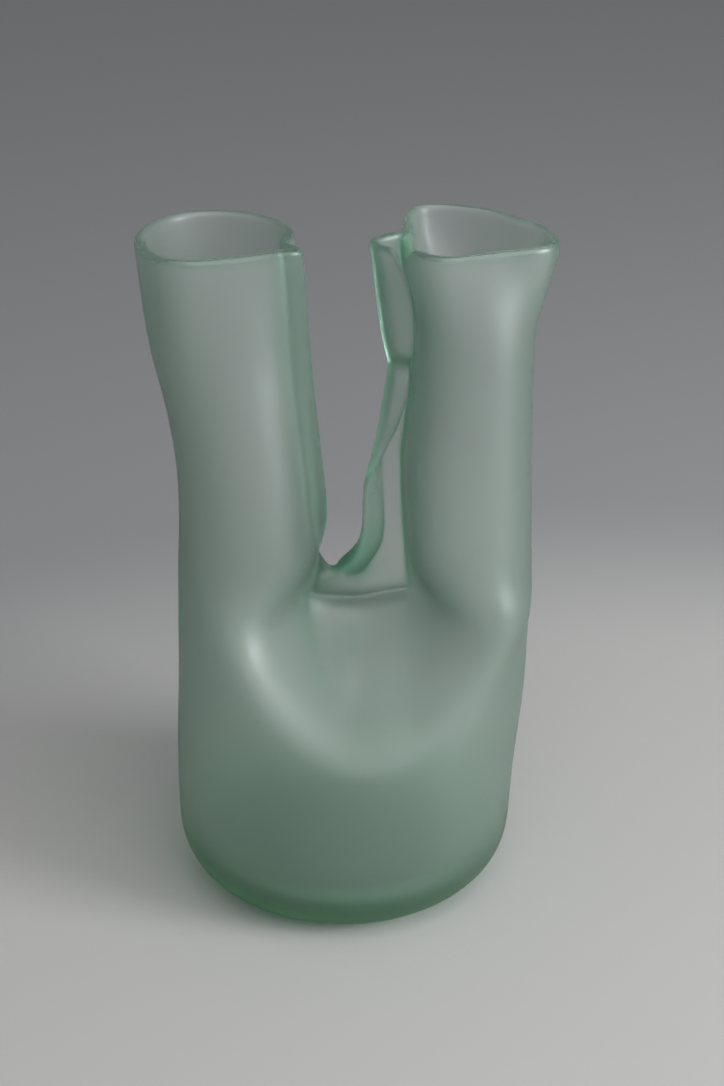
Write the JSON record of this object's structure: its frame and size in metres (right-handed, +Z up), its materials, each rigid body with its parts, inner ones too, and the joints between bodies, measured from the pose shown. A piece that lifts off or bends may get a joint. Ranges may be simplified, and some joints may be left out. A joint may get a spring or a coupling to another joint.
{
  "type": "double-neck vase",
  "caption": "Round frosted glass vase whose upper half parts into a pair of open necks with a slot and sheared seams between them, for holding stems in water.",
  "frame": {"origin": "middle of the vase's bounding box, on the surface that it stands on", "axes": "+Z up, +X from the left neck to the right neck, front towards -Y"},
  "size_m": [0.161, 0.1388, 0.277],
  "materials": {
    "sea_glass": "satin frosted",
    "thick_glass": "satin frosted",
    "seam_glass": "fire polished"
  },
  "bodies": {
    "root": {"thick_base": "thick_glass", "blown_body": "sea_glass", "left_neck": "sea_glass", "right_neck": "sea_glass", "left_seam_lap": "seam_glass", "right_seam_web": "sea_glass", "right_seam_bead": "seam_glass", "right_seam_flap": "seam_glass"}
  },
  "joints": []
}
